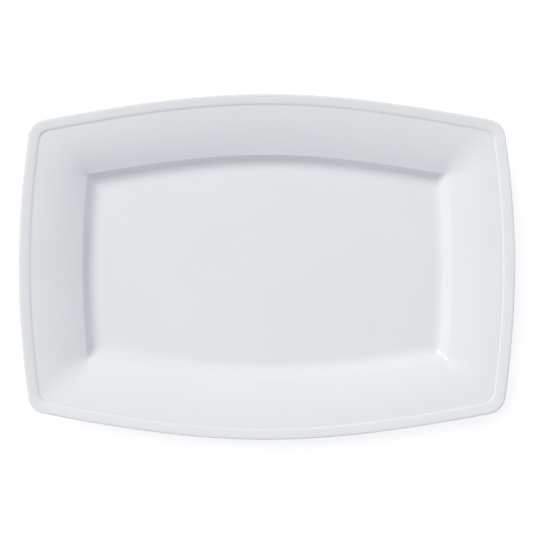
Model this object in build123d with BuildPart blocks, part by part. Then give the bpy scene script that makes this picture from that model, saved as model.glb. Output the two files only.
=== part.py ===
from build123d import *
import os
from dataclasses import dataclass, replace
from math import cos, hypot, radians, sin, sqrt, tan

# China serving platter: a bowed oblong dish with a flat well, a broad sloping rim and a
# raised lip. It stands on a foot ring that is one piece with the clay body. The glaze is
# fused over the whole body except the foot's contact band, which is bare.
#
# Origin: middle of the platter, level with the foot's contact band. +X runs along the
# length, +Y across it and +Z up. Millimetres. Sizes are of the finished, glazed china.

os.makedirs("parts", exist_ok=True)

# ---- Outline and lip -------------------------------------------------------------------
length = 356.0
width = 248.0
outline_corner_radius = 14.0
outline_long_bow = 18.2  # how far a long side's middle stands out from its corners
outline_short_bow = 6.7

lip_width_at_sides = 8.0
lip_width_at_ends = 8.8
lip_line_corner_radius = 8.6
lip_line_long_bow = 18.4
lip_line_short_bow = 6.3
lip_step_height = 0.9  # the short steep step up from the rim
lip_step_run = 0.8
lip_crown = 1.0  # how much the lip still climbs from the step to its crest
lip_crown_roll = 0.4  # share by which the crown's climb starts steeper and ends flatter
lip_crest_width = 0.5
lip_edge_radius = 1.1  # of the lip's outer edge, on its upper side
lip_under_reach = 2.9  # how far in the rounding of the lip's underside runs
lip_thickness = 5.2

# ---- Rim: the broad slope between the well and the lip -----------------------------------
rim_width_at_sides = 35.4
rim_width_at_ends = 36.2
rim_rise = 12.2
rim_swell = 1.5  # how much the rim's middle stands above a straight slope
rim_corner_softening = 9.5  # extra corner radius at the rim's middle

# ---- Well -------------------------------------------------------------------------------
well_edge_corner_radius = 2.9
well_edge_long_bow = 13.4
well_edge_short_bow = 3.1
well_depth = 7.9
wall_angle = 55.0
sweep_on_floor = 5.6  # how far the curve between floor and wall eases out along the floor
sweep_on_wall = 2.8  # and how far it runs up the wall
floor_corner_radius = 7.0
floor_thickness = 5.0
wall_thickness = 4.6  # of the wall and rim, square to the surface

# ---- Foot ring --------------------------------------------------------------------------
foot_height = 3.0  # from the contact band up to the recess under the floor
foot_setback = 10.0  # from the well's edge in to the foot's outer side
foot_width = 5.0
foot_corner_radius = 10.0
foot_edge_radius = 0.7
foot_draft = 0.3
foot_cove_radius = 1.2

# ---- Glaze ------------------------------------------------------------------------------
glaze_thickness = 0.3
bare_margin = 0.4  # clay left bare above the foot's rounded edge

# A bow is spread over its side as an even arc at 2, and is gathered at the middle below 2.
long_side_spread = 1.6
short_side_spread = 1.85


# ---- Rings: the platter is lofted through closed plan outlines at their levels ------------
@dataclass(frozen=True)
class Ring:
    """A bowed oblong with rounded corners."""

    half_length: float
    half_width: float
    corner_radius: float
    long_bow: float
    short_bow: float
    level: float


def moved(ring, outward, upward):
    """The ring spread evenly by a distance in plan, and raised by another."""
    return replace(
        ring,
        half_length=ring.half_length + outward,
        half_width=ring.half_width + outward,
        corner_radius=ring.corner_radius + outward,
        level=ring.level + upward,
    )


def between(first, second, share):
    """The ring a share of the way from the first ring to the second."""
    values = {}
    for name in first.__dataclass_fields__:
        start = getattr(first, name)
        values[name] = start + share * (getattr(second, name) - start)
    return Ring(**values)


def offset_path(stretches, distance):
    """The same path, moved square to itself to the right of the way it runs.

    A path is a list of stretches, each a list of rings, and each stretch starts at the
    ring where the one before it ends. Every path ends where the surface is level.
    """
    joined = stretches[0] + [ring for stretch in stretches[1:] for ring in stretch[1:]]
    shifted = []
    for index, ring in enumerate(joined):
        before = joined[max(index - 1, 0)]
        after = joined[min(index + 1, len(joined) - 1)]
        run = after.half_width - before.half_width
        rise = after.level - before.level if ring is not joined[-1] else 0
        step = hypot(run, rise)
        shifted.append(moved(ring, distance * rise / step, -distance * run / step))
    result = []
    for stretch in stretches:
        result.append(shifted[: len(stretch)])
        shifted = shifted[len(stretch) - 1 :]
    return result


def draw_ring(ring):
    """Draw a ring into the open BuildLine: four bowed sides and four corner arcs."""
    centre_x = ring.half_length - ring.short_bow - ring.corner_radius
    centre_y = ring.half_width - ring.long_bow - ring.corner_radius
    long_slope = long_side_spread * ring.long_bow / centre_x
    short_slope = short_side_spread * ring.short_bow / centre_y

    def on_corner(x_share, y_share):
        return Vector(centre_x, centre_y) + Vector(x_share, y_share) * ring.corner_radius

    long_end = on_corner(sin(long_slope), cos(long_slope))
    short_end = on_corner(cos(short_slope), sin(short_slope))
    corner_middle = on_corner(sqrt(0.5), sqrt(0.5))
    # The middle of a cubic curve stands 3/4 as far out as its two pull points do.
    long_reach = (ring.half_width - long_end.Y) / (0.75 * sin(long_slope))
    short_reach = (ring.half_length - short_end.X) / (0.75 * sin(short_slope))
    long_pull = long_end + Vector(-cos(long_slope), sin(long_slope)) * long_reach
    short_pull = short_end + Vector(sin(short_slope), -cos(short_slope)) * short_reach

    def at(point, x_side, y_side):
        return (x_side * point.X, y_side * point.Y)

    for way in (1, -1):
        Bezier(
            at(long_end, way, way),
            at(long_pull, way, way),
            at(long_pull, -way, way),
            at(long_end, -way, way),
        )
        ThreePointArc(
            at(long_end, -way, way), at(corner_middle, -way, way), at(short_end, -way, way)
        )
        Bezier(
            at(short_end, -way, way),
            at(short_pull, -way, way),
            at(short_pull, -way, -way),
            at(short_end, -way, -way),
        )
        ThreePointArc(
            at(short_end, -way, -way), at(corner_middle, -way, -way), at(long_end, -way, -way)
        )


# ---- Levels -----------------------------------------------------------------------------
floor_level = foot_height + floor_thickness
well_edge_level = floor_level + well_depth
lip_line_level = well_edge_level + rim_rise
step_top_level = lip_line_level + lip_step_height
crest_level = step_top_level + lip_crown
glaze_line_level = foot_edge_radius + bare_margin

# ---- Key rings --------------------------------------------------------------------------
outline = Ring(
    length / 2,
    width / 2,
    outline_corner_radius,
    outline_long_bow,
    outline_short_bow,
    crest_level - lip_edge_radius,
)
lip_line = Ring(
    outline.half_length - lip_width_at_ends,
    outline.half_width - lip_width_at_sides,
    lip_line_corner_radius,
    lip_line_long_bow,
    lip_line_short_bow,
    lip_line_level,
)
well_edge = Ring(
    lip_line.half_length - rim_width_at_ends,
    lip_line.half_width - rim_width_at_sides,
    well_edge_corner_radius,
    well_edge_long_bow,
    well_edge_short_bow,
    well_edge_level,
)

# ---- Upper side: floor sweep, wall, rim, step, crown -------------------------------------
sweep_run = sweep_on_floor + sweep_on_wall * cos(radians(wall_angle))
sweep_rise = sweep_on_wall * sin(radians(wall_angle))
wall_run = (well_depth - sweep_rise) / tan(radians(wall_angle))
floor_setback = sweep_run + wall_run
floor_edge = replace(
    moved(well_edge, -floor_setback, -well_depth), corner_radius=floor_corner_radius
)


def sweep_ring(share):
    """A ring on the sweep, from the floor (0) to the wall (1)."""
    run = 2 * share * (1 - share) * sweep_on_floor + share**2 * sweep_run
    ring = between(floor_edge, well_edge, run / floor_setback)
    return replace(ring, level=floor_level + share**2 * sweep_rise)


def rim_ring(share):
    """A ring on the rim, from the well's edge (0) to the lip line (1)."""
    ring = between(well_edge, lip_line, share)
    arch = 4 * share * (1 - share)
    return replace(
        ring,
        level=ring.level + rim_swell * arch,
        corner_radius=ring.corner_radius + rim_corner_softening * arch,
    )


step_share = lip_step_run / lip_width_at_sides
crest_outer_share = 1 - lip_edge_radius / lip_width_at_sides
crest_inner_share = crest_outer_share - lip_crest_width / lip_width_at_sides


def crown_ring(share):
    """A ring on the lip's crown, from the top of the step (0) to the crest (1)."""
    ring = between(
        lip_line, outline, step_share + share * (crest_inner_share - step_share)
    )
    climb = lip_crown * share * (1 + lip_crown_roll * (1 - share))
    return replace(ring, level=step_top_level + climb)


def nose_ring(angle):
    """A ring round the lip's nose: -90 underneath, 0 at the outline, 90 at the crest."""
    reach = lip_edge_radius if angle > 0 else lip_under_reach
    height = lip_edge_radius if angle > 0 else lip_thickness - lip_edge_radius
    inset = reach * (1 - cos(radians(angle)))
    ring = between(lip_line, outline, 1 - inset / lip_width_at_sides)
    return replace(ring, level=outline.level + height * sin(radians(angle)))


quarters = (0, 0.25, 0.5, 0.75, 1)
sweep = [sweep_ring(share) for share in quarters]
wall = [sweep[-1], well_edge]
rim = [rim_ring(share) for share in quarters]
step = [lip_line, crown_ring(0)]
crown = [crown_ring(share) for share in quarters]
nose_underneath = [nose_ring(angle) for angle in (-90, -60, -30, 0)]
nose_on_top = [nose_ring(angle) for angle in (0, 30, 60, 90)]
upper_side = [sweep, wall, rim, step, crown]

# ---- Foot -------------------------------------------------------------------------------
foot_outer = replace(
    moved(well_edge, -foot_setback, -well_edge_level), corner_radius=foot_corner_radius
)
foot_inner = moved(foot_outer, -foot_width, 0)


def foot_edge(side, outward):
    """The foot's rounded bare edge, from the contact band up to its side."""
    rings = []
    for angle in (0, 30, 60, 90):
        inset = foot_edge_radius * (1 - sin(radians(angle)))
        climb = foot_edge_radius * (1 - cos(radians(angle)))
        rings.append(moved(side, -outward * inset, climb))
    return rings


def glazed_foot_side(side, outward, top_level):
    """The foot's side above the glaze line, then the cove that turns it to the underside."""
    radius = min(foot_cove_radius, (top_level - glaze_line_level) / 2)
    face = moved(side, outward * glaze_thickness, 0)
    cove = []
    for angle in (0, 28, 56, 84):
        swing = radius * (1 - cos(radians(angle)))
        climb = radius * sin(radians(angle))
        cove.append(moved(face, outward * (foot_draft + swing), top_level - radius + climb))
    return [[moved(face, 0, glaze_line_level), cove[0]], cove]


def clay_foot_side(side, outward, glazed):
    """The clay surface of the foot's side: its bare edge, then under the glaze."""
    edge = foot_edge(side, outward)
    clay_cove = offset_path(glazed[1:], -outward * glaze_thickness)
    return [edge, [edge[-1], clay_cove[0][0]]] + clay_cove


# ---- Underside: it runs parallel to the upper side, from the foot's cove to the lip -------
def level_at(rings, half_width):
    """The level at which a path of rings reaches a half width."""
    if half_width <= rings[0].half_width:
        return rings[0].level
    for inner, outer in zip(rings, rings[1:]):
        if half_width <= outer.half_width:
            share = (half_width - inner.half_width) / (outer.half_width - inner.half_width)
            return inner.level + share * (outer.level - inner.level)
    return rings[-1].level


under_sweep, under_wall, under_rim = offset_path([sweep, wall, rim], wall_thickness)
cove_end_width = foot_outer.half_width + glaze_thickness + foot_draft + foot_cove_radius
outer_foot = glazed_foot_side(foot_outer, 1, level_at(under_sweep, cove_end_width))
inner_foot = glazed_foot_side(foot_inner, -1, foot_height)

cove_end = outer_foot[-1][-1]
clear_of_cove = cove_end.half_width + foot_cove_radius
belly = [cove_end] + [ring for ring in under_sweep if ring.half_width > clear_of_cove]
under_nose = [under_rim[-1], nose_underneath[0]]
under_side = [belly, under_wall, under_rim, under_nose, nose_underneath, nose_on_top]


# ---- Lofts ------------------------------------------------------------------------------
def ring_face(ring):
    with BuildSketch(Plane.XY.offset(ring.level)) as sketch:
        with BuildLine():
            draw_ring(ring)
        make_face()
    return sketch.sketch


def loft_path(stretches, mode=Mode.ADD):
    """Loft through each stretch of rings in the open BuildPart, with a crease between them."""
    for rings in stretches:
        loft([ring_face(ring) for ring in rings], ruled=len(rings) == 2, mode=mode)


def extrude_foot_core(bottom_level, mode=Mode.ADD):
    """A block from inside the foot ring up into the floor, in the open BuildPart."""
    middle = replace(between(foot_outer, foot_inner, 0.5), level=bottom_level)
    top_level = foot_height + floor_thickness / 2
    extrude(ring_face(middle), amount=top_level - bottom_level, mode=mode)


# ---- Clay body --------------------------------------------------------------------------
clay_under_side = offset_path([outer_foot[-1]] + under_side, -glaze_thickness)

with BuildPart() as china_body:
    loft_path(clay_foot_side(foot_outer, 1, outer_foot)[:2] + clay_under_side)
    loft_path(offset_path(upper_side, glaze_thickness), mode=Mode.SUBTRACT)
    loft_path(clay_foot_side(foot_inner, -1, inner_foot), mode=Mode.SUBTRACT)

china_body.part.label = "china_body"
export_step(china_body.part, "parts/china_body.step")

# ---- Glaze over the upper side, round the lip and down the underside to the foot ----------
with BuildPart() as glaze_face:
    loft_path(outer_foot + under_side)
    loft_path(upper_side, mode=Mode.SUBTRACT)
    extrude_foot_core(0, mode=Mode.SUBTRACT)
    add(china_body.part, mode=Mode.SUBTRACT)

glaze_face.part.label = "glaze_face"
export_step(glaze_face.part, "parts/glaze_face.step")

# ---- Glaze in the recess inside the foot ring --------------------------------------------
with BuildPart() as glaze_base:
    extrude_foot_core(glaze_line_level)
    loft_path(inner_foot, mode=Mode.SUBTRACT)
    add(china_body.part, mode=Mode.SUBTRACT)

glaze_base.part.label = "glaze_base"
export_step(glaze_base.part, "parts/glaze_base.step")
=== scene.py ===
import math

import bpy
import numpy as np
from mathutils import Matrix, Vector


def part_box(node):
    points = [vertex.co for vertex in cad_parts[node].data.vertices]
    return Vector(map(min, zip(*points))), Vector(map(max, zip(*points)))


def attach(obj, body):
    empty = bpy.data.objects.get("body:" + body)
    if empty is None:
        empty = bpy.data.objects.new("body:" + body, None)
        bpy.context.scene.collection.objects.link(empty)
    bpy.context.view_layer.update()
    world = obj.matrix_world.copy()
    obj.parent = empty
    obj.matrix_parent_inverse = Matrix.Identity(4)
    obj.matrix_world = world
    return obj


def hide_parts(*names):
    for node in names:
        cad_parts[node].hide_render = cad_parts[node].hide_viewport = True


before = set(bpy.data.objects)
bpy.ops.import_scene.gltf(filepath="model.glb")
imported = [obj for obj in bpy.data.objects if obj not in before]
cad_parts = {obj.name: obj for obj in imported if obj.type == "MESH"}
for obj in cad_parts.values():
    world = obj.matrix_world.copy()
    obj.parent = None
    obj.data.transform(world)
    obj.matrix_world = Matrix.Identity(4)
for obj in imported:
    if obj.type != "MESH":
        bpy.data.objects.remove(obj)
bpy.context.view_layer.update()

# China serving platter. The clay body stays the CAD node; the glaze over it is modelled
# here as smooth closed coats, from the same plan rings as the CAD and with the softer
# edges that fired glaze has. Lengths in the shape code are millimetres.
MM = 0.001

glaze_low, glaze_high = (np.array(corner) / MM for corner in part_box("glaze_face"))

HALF_LENGTH, HALF_WIDTH, CREST_LEVEL = glaze_high
GLAZE_LINE = glaze_low[2]

# ---- Lip --------------------------------------------------------------------------------
LIP_AT_SIDES = 8.0
LIP_AT_ENDS = 8.8
LIP_STEP = 0.9  # height of the short steep step up from the rim
LIP_STEP_RUN = 0.8
LIP_CROWN = 1.0  # climb from the step to the crest
LIP_ROLL = 0.4  # share by which that climb starts steeper and ends flatter
LIP_CREST = 0.5  # width of the level crest
LIP_EDGE = 1.1  # radius of the outer edge, on its upper side
LIP_UNDER_EDGE = 2.9  # how far in the rounding of the underside runs
LIP_THICKNESS = 5.2

# ---- Rim, wall and floor ----------------------------------------------------------------
RIM_AT_SIDES = 35.4
RIM_AT_ENDS = 36.2
RIM_RISE = 12.2
RIM_SWELL = 1.5  # how much the rim's middle stands above a straight slope
RIM_CORNER_SOFTENING = 9.5  # extra corner radius at the rim's middle
WELL_DEPTH = 7.9
WALL_ANGLE = math.radians(55)
WALL_THICKNESS = 4.6
SWEEP_ON_FLOOR = 5.6  # the curve between floor and wall runs this far on each of them
SWEEP_ON_WALL = 2.8
FLOOR_CORNER = 7.0

# ---- Foot and glaze ---------------------------------------------------------------------
FOOT_SETBACK = 10.0  # from the well's edge in to the foot's outer side
FOOT_WIDTH = 5.0
FOOT_HEIGHT = 3.0
FOOT_CORNER = 10.0
FOOT_DRAFT = 0.3
FOOT_COVE = 1.2
COVE_TURN = math.radians(84)  # the cove stops short of level, where the underside takes over
GLAZE = 0.3

# ---- Levels and key rings ---------------------------------------------------------------
STEP_TOP = CREST_LEVEL - LIP_CROWN
LIP_LINE_LEVEL = STEP_TOP - LIP_STEP
WELL_EDGE_LEVEL = LIP_LINE_LEVEL - RIM_RISE
FLOOR_LEVEL = WELL_EDGE_LEVEL - WELL_DEPTH


def new_ring(half_length, half_width, corner_radius, long_bow, short_bow, level):
    """A bowed oblong with rounded corners; a bow is how far a side's middle stands out."""
    return np.array([half_length, half_width, corner_radius, long_bow, short_bow, level])


outline = new_ring(
    HALF_LENGTH,
    HALF_WIDTH,
    corner_radius=14.0,
    long_bow=18.2,
    short_bow=6.7,
    level=CREST_LEVEL - LIP_EDGE,
)
lip_line = new_ring(
    HALF_LENGTH - LIP_AT_ENDS,
    HALF_WIDTH - LIP_AT_SIDES,
    corner_radius=8.6,
    long_bow=18.4,
    short_bow=6.3,
    level=LIP_LINE_LEVEL,
)
well_edge = new_ring(
    HALF_LENGTH - LIP_AT_ENDS - RIM_AT_ENDS,
    HALF_WIDTH - LIP_AT_SIDES - RIM_AT_SIDES,
    corner_radius=2.9,
    long_bow=13.4,
    short_bow=3.1,
    level=WELL_EDGE_LEVEL,
)


def moved(ring, outward, upward):
    """The ring spread evenly by a distance in plan, and raised by another."""
    return ring + np.array([outward, outward, outward, 0, 0, upward])


def between(first, second, share):
    return first + share * (second - first)


def at_level(ring, level):
    return np.append(ring[:5], level)


def with_corner(ring, radius):
    return np.concatenate([ring[:2], [radius], ring[3:]])


# ---- Rings along the surface ------------------------------------------------------------
sweep_run = SWEEP_ON_FLOOR + SWEEP_ON_WALL * math.cos(WALL_ANGLE)
sweep_rise = SWEEP_ON_WALL * math.sin(WALL_ANGLE)
wall_run = (WELL_DEPTH - sweep_rise) / math.tan(WALL_ANGLE)
floor_setback = sweep_run + wall_run
floor_edge = with_corner(moved(well_edge, -floor_setback, -WELL_DEPTH), FLOOR_CORNER)


def sweep_ring(share):
    """A ring on the curve between the floor (0) and the wall (1)."""
    run = 2 * share * (1 - share) * SWEEP_ON_FLOOR + share**2 * sweep_run
    ring = between(floor_edge, well_edge, run / floor_setback)
    return at_level(ring, FLOOR_LEVEL + sweep_rise * share**2)


def rim_ring(share):
    """A ring on the rim, from the well's edge (0) to the lip line (1)."""
    arch = 4 * share * (1 - share)
    ring = between(well_edge, lip_line, share)
    return ring + np.array([0, 0, RIM_CORNER_SOFTENING * arch, 0, 0, RIM_SWELL * arch])


crest_outer = 1 - LIP_EDGE / LIP_AT_SIDES
crest_inner = crest_outer - LIP_CREST / LIP_AT_SIDES
step_share = LIP_STEP_RUN / LIP_AT_SIDES


def crown_ring(share):
    """A ring on the lip's crown, from the top of the step (0) to the crest (1)."""
    ring = between(lip_line, outline, step_share + share * (crest_inner - step_share))
    return at_level(ring, STEP_TOP + LIP_CROWN * share * (1 + LIP_ROLL * (1 - share)))


def nose_ring(angle):
    """A ring round the lip's nose: a right angle is the crest, 0 the outline, below 0 under."""
    reach, height = LIP_EDGE, LIP_EDGE
    if angle < 0:
        reach, height = LIP_UNDER_EDGE, LIP_THICKNESS - LIP_EDGE
    ring = between(lip_line, outline, 1 - reach * (1 - math.cos(angle)) / LIP_AT_SIDES)
    return at_level(ring, outline[5] + height * math.sin(angle))


def spread(function, start, end, count):
    """Rings of a function at even steps, as one array of rows."""
    return np.array([function(value) for value in np.linspace(start, end, count)])


def offset(path, distance):
    """A path of rings moved square to itself, to the right of the way it runs."""
    run = np.gradient(path[:, 1])
    rise = np.gradient(path[:, 5])
    step = np.hypot(run, rise)
    shift = np.zeros_like(path)
    shift[:, :3] = (distance * rise / step)[:, None]
    shift[:, 5] = -distance * run / step
    return path + shift


def path_length(path):
    """How far along the path each ring lies."""
    steps = np.hypot(np.diff(path[:, 1]), np.diff(path[:, 5]))
    return np.concatenate([[0], np.cumsum(steps)])


def even(path, spacing):
    """The path with its rings an even distance apart."""
    along = path_length(path)
    places = np.linspace(0, along[-1], int(along[-1] / spacing) + 1)
    return np.stack([np.interp(places, along, column) for column in path.T], axis=1)


def soften(path, reach, spacing=0.1):
    """Round the path's creases as glaze does, by averaging along it; the ends stay."""
    path = even(path, spacing)
    half = int(3 * reach / spacing)  # beyond three reaches the weights are next to nothing
    weights = np.exp(-0.5 * (np.arange(-half, half + 1) * spacing / reach) ** 2)
    weights /= weights.sum()
    columns = []
    for column in path.T:
        before = 2 * column[0] - column[half:0:-1]
        after = 2 * column[-1] - column[-2 : -half - 2 : -1]
        padded = np.concatenate([before, column, after])
        columns.append(np.convolve(padded, weights, mode="valid"))
    return np.stack(columns, axis=1)


def thin_out(path, longest, sharpest):
    """Keep the rings that the bends need: a step's length and turn stay below two limits."""
    heading = np.unwrap(np.arctan2(np.gradient(path[:, 5]), np.gradient(path[:, 1])))
    along = path_length(path)
    turn = np.concatenate([[0], np.cumsum(np.abs(np.diff(heading)))])
    need = along / longest + turn / sharpest
    count = int(need[-1]) + 2
    places = np.linspace(0, need[-1], count)
    return np.stack([np.interp(places, need, column) for column in path.T], axis=1)


# ---- Paths of rings ---------------------------------------------------------------------
SWEEP_RINGS = 40
RIM_RINGS = 60
CROWN_RINGS = 20
NOSE_RINGS = 60
COVE_RINGS = 16
UNDER_SPACING = 0.25

sweep = spread(sweep_ring, 0, 1, SWEEP_RINGS)
rim = spread(rim_ring, 0, 1, RIM_RINGS)
crown = spread(crown_ring, 0, 1, CROWN_RINGS)
nose = spread(nose_ring, math.pi / 2, -math.pi / 2, NOSE_RINGS)
bowl = np.concatenate([sweep, [well_edge], rim[1:]])
upper = np.concatenate([bowl, crown])
under = offset(even(bowl, UNDER_SPACING), WALL_THICKNESS)

foot_outer = with_corner(at_level(moved(well_edge, -FOOT_SETBACK, 0), 0), FOOT_CORNER)
foot_inner = moved(foot_outer, -FOOT_WIDTH, 0)


def foot_side(side, outward, top_level):
    """The foot's glazed side and its cove, from the glaze line upward."""
    face = moved(side, outward * GLAZE, 0)
    rings = [at_level(face, GLAZE_LINE)]
    for angle in np.linspace(0, COVE_TURN, COVE_RINGS):
        swing = FOOT_DRAFT + FOOT_COVE * (1 - math.cos(angle))
        level = top_level - FOOT_COVE * (1 - math.sin(angle))
        rings.append(moved(face, outward * swing, level))
    return np.array(rings)


foot_top_width = foot_outer[1] + FOOT_DRAFT + FOOT_COVE
belly_level = np.interp(foot_top_width, under[:, 1], under[:, 5])
outer_foot = foot_side(foot_outer, 1, belly_level)
inner_foot = foot_side(foot_inner, -1, FOOT_HEIGHT)
belly = under[under[:, 1] > outer_foot[-1][1] + FOOT_COVE]

UNDER_SOFTNESS = 2.2  # how far the glaze evens out the bends underneath
FACE_SOFTNESS = 0.45
FOOT_SOFTNESS = 0.3

under_skin = soften(np.concatenate([outer_foot[-1:], belly, nose[-1:]]), UNDER_SOFTNESS)
outside = soften(np.concatenate([outer_foot, under_skin[1:]]), FOOT_SOFTNESS)
face = soften(np.concatenate([upper, nose])[::-1], FACE_SOFTNESS)
glaze_path = np.concatenate([outside, face[1:]])
recess_path = soften(inner_foot, FOOT_SOFTNESS)

# ---- Meshes -----------------------------------------------------------------------------
LONG_SPREAD = 1.6  # a bow is an even arc at 2, and is gathered at its middle below 2
SHORT_SPREAD = 1.85
SHORT_STEPS, CORNER_STEPS, LONG_STEPS = 30, 8, 44  # in a quarter of a ring
TO_CORNER = SHORT_STEPS + CORNER_STEPS
QUARTER = SHORT_STEPS + 2 * CORNER_STEPS + LONG_STEPS
AROUND = 4 * QUARTER


def half_side(end_along, end_out, slope, middle_out, steps):
    """Half of a bowed side, from its middle to its end: how far along, and how far out."""
    # The side is a cubic curve, so its middle stands out by 3/4 of what its pull points do.
    reach = (middle_out - end_out) / (0.75 * math.sin(slope))
    pull_along = end_along - math.cos(slope) * reach
    pull_out = end_out + math.sin(slope) * reach
    far = np.linspace(0.5, 1, steps + 1)
    near = 1 - far
    along = (far**3 - near**3) * end_along + 3 * near * far * (far - near) * pull_along
    out = (far**3 + near**3) * end_out + 3 * near * far * pull_out
    return along, out


def ring_points(ring):
    """The ring's points, counter-clockwise from the middle of the +X side."""
    half_length, half_width, radius, long_bow, short_bow, level = ring
    centre_x = half_length - short_bow - radius
    centre_y = half_width - long_bow - radius
    long_slope = LONG_SPREAD * long_bow / centre_x
    short_slope = SHORT_SPREAD * short_bow / centre_y
    angles = np.linspace(short_slope, math.pi / 2 - long_slope, 2 * CORNER_STEPS + 1)
    arc_x = centre_x + radius * np.cos(angles)
    arc_y = centre_y + radius * np.sin(angles)
    short_y, short_x = half_side(arc_y[0], arc_x[0], short_slope, half_length, SHORT_STEPS)
    long_x, long_y = half_side(arc_x[-1], arc_y[-1], long_slope, half_width, LONG_STEPS)
    x = np.concatenate([short_x, arc_x[1:-1], long_x[::-1]])
    y = np.concatenate([short_y, arc_y[1:-1], long_y[::-1]])
    plan = np.column_stack([x, y])
    turned_back = plan[:0:-1] * [-1, 1]
    plan = np.concatenate([plan[:-1], turned_back, -plan[:-1], -turned_back])
    return np.column_stack([plan, np.full(AROUND, level)])


def patch(edge):
    """A grid of points that fills a ring, [row][column], spanned between its four sides."""
    start = np.roll(edge, TO_CORNER, axis=0)
    start = np.concatenate([start, start[:1]])
    across, along = 2 * TO_CORNER, 2 * (QUARTER - TO_CORNER)
    right, top, left, bottom = np.split(
        start, [across, across + along, 2 * across + along]
    )
    right = np.concatenate([right, top[:1]])
    top = np.concatenate([top, left[:1]])[::-1]
    left = np.concatenate([left, bottom[:1]])[::-1]
    s = np.linspace(0, 1, along + 1)[None, :, None]
    t = np.linspace(0, 1, across + 1)[:, None, None]
    sides = (1 - s) * left[:, None] + s * right[:, None]
    ends = (1 - t) * bottom[None] + t * top[None]
    low = (1 - s) * bottom[0] + s * bottom[-1]
    high = (1 - s) * top[0] + s * top[-1]
    return sides + ends - (1 - t) * low - t * high


def skin(path):
    """Points and faces of a skin through a path of rings, its last ring filled by a patch."""
    rings = np.array([ring_points(ring) for ring in path])
    grid = patch(rings[-1])
    rows, columns = grid.shape[:2]
    ids = np.arange(rings.shape[0] * AROUND).reshape(-1, AROUND)
    inner = grid[1:-1, 1:-1].reshape(-1, 3)
    grid_ids = np.zeros((rows, columns), int)
    grid_ids[1:-1, 1:-1] = ids.size + np.arange(len(inner)).reshape(rows - 2, columns - 2)
    border = np.roll(ids[-1], TO_CORNER)
    border = np.append(border, border[0])
    across, along = rows - 1, columns - 1
    grid_ids[:, -1] = border[: across + 1]
    grid_ids[-1, ::-1] = border[across : across + along + 1]
    grid_ids[::-1, 0] = border[across + along : 2 * across + along + 1]
    grid_ids[0, :] = border[2 * across + along :]
    points = np.concatenate([rings.reshape(-1, 3), inner])

    low, high = ids[:-1], ids[1:]
    belt = np.stack([low, np.roll(low, -1, 1), np.roll(high, -1, 1), high], axis=-1)
    cells = np.stack(
        [grid_ids[:-1, :-1], grid_ids[:-1, 1:], grid_ids[1:, 1:], grid_ids[1:, :-1]], axis=-1
    )
    return points, np.concatenate([belt.reshape(-1, 4), cells.reshape(-1, 4)])


def bend(path):
    """How sharply the path turns at each ring, in radians per millimetre."""
    heading = np.unwrap(np.arctan2(np.gradient(path[:, 5]), np.gradient(path[:, 1])))
    return np.gradient(heading) / np.gradient(path_length(path))


RIPPLES = (  # wavelength across X, wavelength across Y, phase, height
    (61.0, 173.0, 0.4, 0.018),
    (-97.0, 59.0, 2.1, 0.022),
    (41.0, -67.0, 4.0, 0.010),
    (211.0, 143.0, 1.3, 0.035),
)


def rippled(points):
    """The slight unevenness of a fired surface, as a rise or fall of each point."""
    lift = np.zeros(len(points))
    for wave_x, wave_y, phase, height in RIPPLES:
        turns = points[:, 0] / wave_x + points[:, 1] / wave_y
        lift += height * np.sin(2 * math.pi * turns + phase)
    fade = np.clip((points[:, 2] - GLAZE_LINE) / FOOT_HEIGHT, 0, 1)
    return points + np.outer(lift * fade, [0, 0, 1])


SEEN_STEPS = (2.2, math.radians(4.5))  # the longest and the sharpest step between rings
HIDDEN_STEPS = (6.0, math.radians(15))
POOLING_RADIUS = 2.5  # a bend this tight or tighter pools, or thins, the glaze fully
SHARP_EDGE = math.radians(60)
LEFT, RIGHT = -1, 1  # of the way a path runs; the clay lies on one of them


def glaze_coat(name, path, clay_side, nodes, material):
    """A closed coat of glaze: a skin on the path, and one a glaze's thickness nearer the clay."""
    seen = thin_out(path, *SEEN_STEPS)
    hidden = thin_out(offset(path, clay_side * GLAZE), *HIDDEN_STEPS)
    top, top_faces = skin(seen)
    bottom, bottom_faces = skin(hidden)
    first = np.arange(AROUND)
    rim_faces = np.stack(
        [np.roll(first, -1), first, first + len(top), np.roll(first, -1) + len(top)], axis=-1
    )
    points = rippled(np.concatenate([top, bottom])) * MM
    faces = np.concatenate([top_faces, bottom_faces[:, ::-1] + len(top), rim_faces])
    if clay_side > 0:
        faces = faces[:, ::-1]

    mesh = bpy.data.meshes.new(name)
    mesh.from_pydata(points.tolist(), [], faces.tolist())
    mesh.shade_smooth()
    mesh.set_sharp_from_angle(angle=SHARP_EDGE)
    layer = mesh.attributes.new("pooling", "FLOAT", "POINT")
    pooled = np.zeros(len(points), np.float32)
    pooling = np.clip(clay_side * bend(seen) * POOLING_RADIUS, -1, 1)
    pooled[: AROUND * len(seen)] = np.repeat(pooling, AROUND)
    layer.data.foreach_set("value", pooled)
    mesh.materials.append(material)
    coat = bpy.data.objects.new(name, mesh)
    bpy.context.scene.collection.objects.link(coat)
    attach(coat, "root")
    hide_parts(*nodes)


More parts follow.
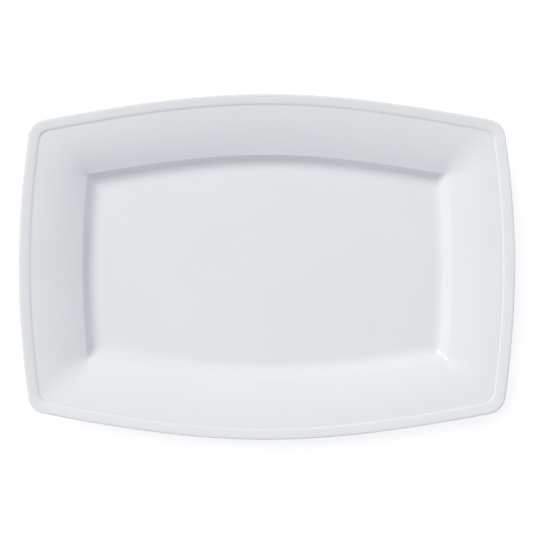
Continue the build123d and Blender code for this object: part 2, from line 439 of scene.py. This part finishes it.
# ---- Materials --------------------------------------------------------------------------
GLAZE_WHITE = (0.753, 0.783, 0.807)
GLAZE_CLOUD = (0.742, 0.776, 0.803)
GLAZE_POOLED = (0.700, 0.745, 0.785)
GLAZE_THIN = (0.766, 0.788, 0.803)
GLAZE_ROUGHNESS = (0.10, 0.17)
GLAZE_IOR = 1.52
GLAZE_WAVES = (0.0003, 0.25)  # a relief's depth in metres, and how strongly it shows
GLAZE_PEEL = (0.00005, 0.25)
CLAY_PALE = (0.80, 0.78, 0.74)
CLAY_WORN = (0.66, 0.62, 0.56)
CLAY_ROUGHNESS = (0.62, 0.85)
CLAY_GRAIN = (0.0002, 0.6)
NOISE_SPAN = (0.3, 0.7)  # where most values of a noise lie
CLOUD_SPAN = (0.35, 0.65)  # over these values one colour turns into the other
STAIN_SPAN = (0.4, 0.7)
POOLED_SPAN = (0.1, 1)
THIN_SPAN = (-0.1, -1)


def new_material(name):
    """A material with one Principled shader, and what is needed to build on it."""
    material = bpy.data.materials.new(name)
    material.use_nodes = True
    nodes = material.node_tree.nodes
    nodes.clear()
    output = nodes.new("ShaderNodeOutputMaterial")
    shader = nodes.new("ShaderNodeBsdfPrincipled")
    material.node_tree.links.new(shader.outputs["BSDF"], output.inputs["Surface"])
    return material, nodes, material.node_tree.links, shader


def noise(nodes, links, place, scale, detail):
    """A noise value, about 0.5 on average; its scale is in waves per metre."""
    texture = nodes.new("ShaderNodeTexNoise")
    texture.inputs["Scale"].default_value = scale
    texture.inputs["Detail"].default_value = detail
    links.new(place.outputs["Object"], texture.inputs["Vector"])
    return texture.outputs["Fac"]


def ranged(nodes, links, value, span, target=(0, 1)):
    """A value moved from one span to another, and kept inside it."""
    node = nodes.new("ShaderNodeMapRange")
    for name, limit in zip(("From Min", "From Max", "To Min", "To Max"), (*span, *target)):
        node.inputs[name].default_value = limit
    links.new(value, node.inputs["Value"])
    return node.outputs["Result"]


def mixed(nodes, links, share, first, second):
    """A colour a share of the way from the first to the second, each fixed or computed."""
    node = nodes.new("ShaderNodeMix")
    node.data_type = "RGBA"
    links.new(share, node.inputs["Factor"])
    for name, colour in (("A", first), ("B", second)):
        socket = [entry for entry in node.inputs if (entry.name, entry.type) == (name, "RGBA")][0]
        if isinstance(colour, tuple):
            socket.default_value = (*colour, 1)
        else:
            links.new(colour, socket)
    return [entry for entry in node.outputs if entry.type == "RGBA"][0]


def bumps(nodes, links, shader, layers):
    """Chain bump nodes, each (height, distance in metres, strength), onto a shader."""
    below = None
    for height, distance, strength in layers:
        bump = nodes.new("ShaderNodeBump")
        bump.inputs["Distance"].default_value = distance
        bump.inputs["Strength"].default_value = strength
        links.new(height, bump.inputs["Height"])
        if below:
            links.new(below, bump.inputs["Normal"])
        below = bump.outputs["Normal"]
    links.new(below, shader.inputs["Normal"])


def white_glaze():
    """Fired white glaze: faint clouds, bluer where it pooled and paler where it ran thin."""
    material, nodes, links, shader = new_material("white_glaze")
    place = nodes.new("ShaderNodeTexCoord")
    clouds = noise(nodes, links, place, scale=22, detail=3)
    smears = noise(nodes, links, place, scale=60, detail=4)
    waves = noise(nodes, links, place, scale=45, detail=2)
    peel = noise(nodes, links, place, scale=260, detail=2)
    pooling = nodes.new("ShaderNodeAttribute")
    pooling.attribute_name = "pooling"

    drift = ranged(nodes, links, clouds, CLOUD_SPAN)
    pooled = ranged(nodes, links, pooling.outputs["Fac"], POOLED_SPAN)
    thin = ranged(nodes, links, pooling.outputs["Fac"], THIN_SPAN)
    colour = mixed(nodes, links, drift, GLAZE_WHITE, GLAZE_CLOUD)
    colour = mixed(nodes, links, pooled, colour, GLAZE_POOLED)
    colour = mixed(nodes, links, thin, colour, GLAZE_THIN)
    roughness = ranged(nodes, links, smears, NOISE_SPAN, GLAZE_ROUGHNESS)
    links.new(colour, shader.inputs["Base Color"])
    links.new(roughness, shader.inputs["Roughness"])
    shader.inputs["IOR"].default_value = GLAZE_IOR
    bumps(nodes, links, shader, [(waves, *GLAZE_WAVES), (peel, *GLAZE_PEEL)])
    return material


def bare_clay():
    """Unglazed fired clay: matt, grainy and worn grey in places."""
    material, nodes, links, shader = new_material("china_clay")
    place = nodes.new("ShaderNodeTexCoord")
    grain = noise(nodes, links, place, scale=900, detail=5)
    stain = noise(nodes, links, place, scale=40, detail=3)

    worn = ranged(nodes, links, stain, STAIN_SPAN)
    colour = mixed(nodes, links, worn, CLAY_PALE, CLAY_WORN)
    roughness = ranged(nodes, links, grain, NOISE_SPAN, CLAY_ROUGHNESS)
    links.new(colour, shader.inputs["Base Color"])
    links.new(roughness, shader.inputs["Roughness"])
    bumps(nodes, links, shader, [(grain, *CLAY_GRAIN)])
    return material


# ---- Pieces -----------------------------------------------------------------------------
glaze_material = white_glaze()
glaze_coat("platter_glaze", glaze_path, LEFT, ["glaze_face"], glaze_material)
glaze_coat("platter_glaze_base", recess_path, RIGHT, ["glaze_base"], glaze_material)

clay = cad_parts["china_body"]
clay.data.materials.clear()
clay.data.materials.append(bare_clay())

# ---- Camera -----------------------------------------------------------------------------
SENSOR, LENS = 36.0, 150.0
VIEW_WIDTH = 0.3815  # what the picture spans at the lip
camera_data = bpy.data.cameras.new("camera")
camera_data.sensor_width = SENSOR
camera_data.lens = LENS
camera = bpy.data.objects.new("camera", camera_data)
bpy.context.scene.collection.objects.link(camera)
camera.location = (0, 0, outline[5] * MM + VIEW_WIDTH * LENS / SENSOR)
bpy.context.scene.camera = camera

# ---- Floor ------------------------------------------------------------------------------
FLOOR_HALF = 2.0
FLOOR_WHITE = (0.8, 0.8, 0.8, 1)
FLOOR_ROUGHNESS = 0.9
FLOOR_GLOW = 0.6  # shown to background rays only; it lights nothing
PLAIN_WHITE = (1, 1, 1, 1)


def background_rays(nodes, links):
    """1 for the rays that show the background: camera, glossy and transmission rays."""
    path = nodes.new("ShaderNodeLightPath")
    total = path.outputs["Is Camera Ray"]
    for kind in ("Is Glossy Ray", "Is Transmission Ray"):
        either = nodes.new("ShaderNodeMath")
        either.operation = "MAXIMUM"
        links.new(total, either.inputs[0])
        links.new(path.outputs[kind], either.inputs[1])
        total = either.outputs[0]
    return total


def studio_floor():
    """A matt white floor that keeps the shadow and shows as a white background."""
    material, nodes, links, shader = new_material("studio_floor")
    shader.inputs["Base Color"].default_value = FLOOR_WHITE
    shader.inputs["Roughness"].default_value = FLOOR_ROUGHNESS
    shader.inputs["Specular IOR Level"].default_value = 0
    level = nodes.new("ShaderNodeMath")
    level.operation = "MULTIPLY"
    level.inputs[1].default_value = FLOOR_GLOW
    links.new(background_rays(nodes, links), level.inputs[0])
    shader.inputs["Emission Color"].default_value = PLAIN_WHITE
    links.new(level.outputs[0], shader.inputs["Emission Strength"])
    mesh = bpy.data.meshes.new("studio_floor")
    corners = [(-1, -1), (1, -1), (1, 1), (-1, 1)]
    mesh.from_pydata([(x * FLOOR_HALF, y * FLOOR_HALF, 0) for x, y in corners], [], [range(4)])
    mesh.materials.append(material)
    floor = bpy.data.objects.new("studio_floor", mesh)
    bpy.context.scene.collection.objects.link(floor)


# ---- Light ------------------------------------------------------------------------------
WARM = (1.0, 0.95, 0.89)
COOL = (0.87, 0.88, 1.0)
KEY_AZIMUTH = 133
FILLS = (("right_fill", 0, 18.6), ("left_fill", 180, 6.6), ("front_fill", 270, 14.2))


def direction(azimuth, elevation):
    """A unit vector from a bearing in degrees from +X and a height in degrees."""
    a, e = math.radians(azimuth), math.radians(elevation)
    return Vector((math.cos(e) * math.cos(a), math.cos(e) * math.sin(a), math.sin(e)))


def softbox(name, azimuth, elevation, distance, width, height, power, colour):
    """A rectangular lamp aimed at the platter, sized and placed in metres."""
    data = bpy.data.lights.new(name, "AREA")
    data.shape = "RECTANGLE"
    data.size = width
    data.size_y = height
    data.energy = power
    data.color = colour
    lamp = bpy.data.objects.new(name, data)
    bpy.context.scene.collection.objects.link(lamp)
    lamp.location = direction(azimuth, elevation) * distance
    lamp.rotation_mode = "QUATERNION"
    lamp.rotation_quaternion = lamp.location.to_track_quat("Z", "Y")
    return lamp


def studio_ceiling(brightest, azimuth, elevation, narrowness):
    """A surround with one broad bright patch, which is plain white to background rays."""
    world = bpy.data.worlds.new("studio")
    world.use_nodes = True
    nodes, links = world.node_tree.nodes, world.node_tree.links
    place = nodes.new("ShaderNodeTexCoord")
    nearness = nodes.new("ShaderNodeVectorMath")
    nearness.operation = "DOT_PRODUCT"
    links.new(place.outputs["Generated"], nearness.inputs[0])
    nearness.inputs[1].default_value = direction(azimuth, elevation)
    steps = (("MAXIMUM", 0), ("POWER", narrowness), ("MULTIPLY", brightest))
    level = nearness.outputs["Value"]
    for operation, value in steps:
        node = nodes.new("ShaderNodeMath")
        node.operation = operation
        node.inputs[1].default_value = value
        links.new(level, node.inputs[0])
        level = node.outputs[0]
    shown = nodes.new("ShaderNodeMix")
    links.new(background_rays(nodes, links), shown.inputs["Factor"])
    links.new(level, shown.inputs["A"])
    shown.inputs["B"].default_value = 1
    background = nodes["Background"]
    background.inputs["Color"].default_value = PLAIN_WHITE
    links.new(shown.outputs["Result"], background.inputs["Strength"])
    bpy.context.scene.world = world


studio_floor()
studio_ceiling(brightest=2.40, azimuth=135, elevation=60, narrowness=6)
key = softbox(
    "key", KEY_AZIMUTH, elevation=40, distance=2.4, width=1.2, height=1.2, power=31.8, colour=WARM
)
glint = softbox(
    "glint", KEY_AZIMUTH, elevation=26, distance=2.4, width=1.0, height=0.6, power=15.0, colour=WARM
)
key.visible_glossy = False  # what the glaze reflects of it is the glint, which is set lower
glint.visible_diffuse = False
for name, azimuth, power in FILLS:
    softbox(
        name, azimuth, elevation=18, distance=2.6, width=2.0, height=1.2, power=power, colour=COOL
    )
bpy.context.scene.view_settings.view_transform = "Standard"
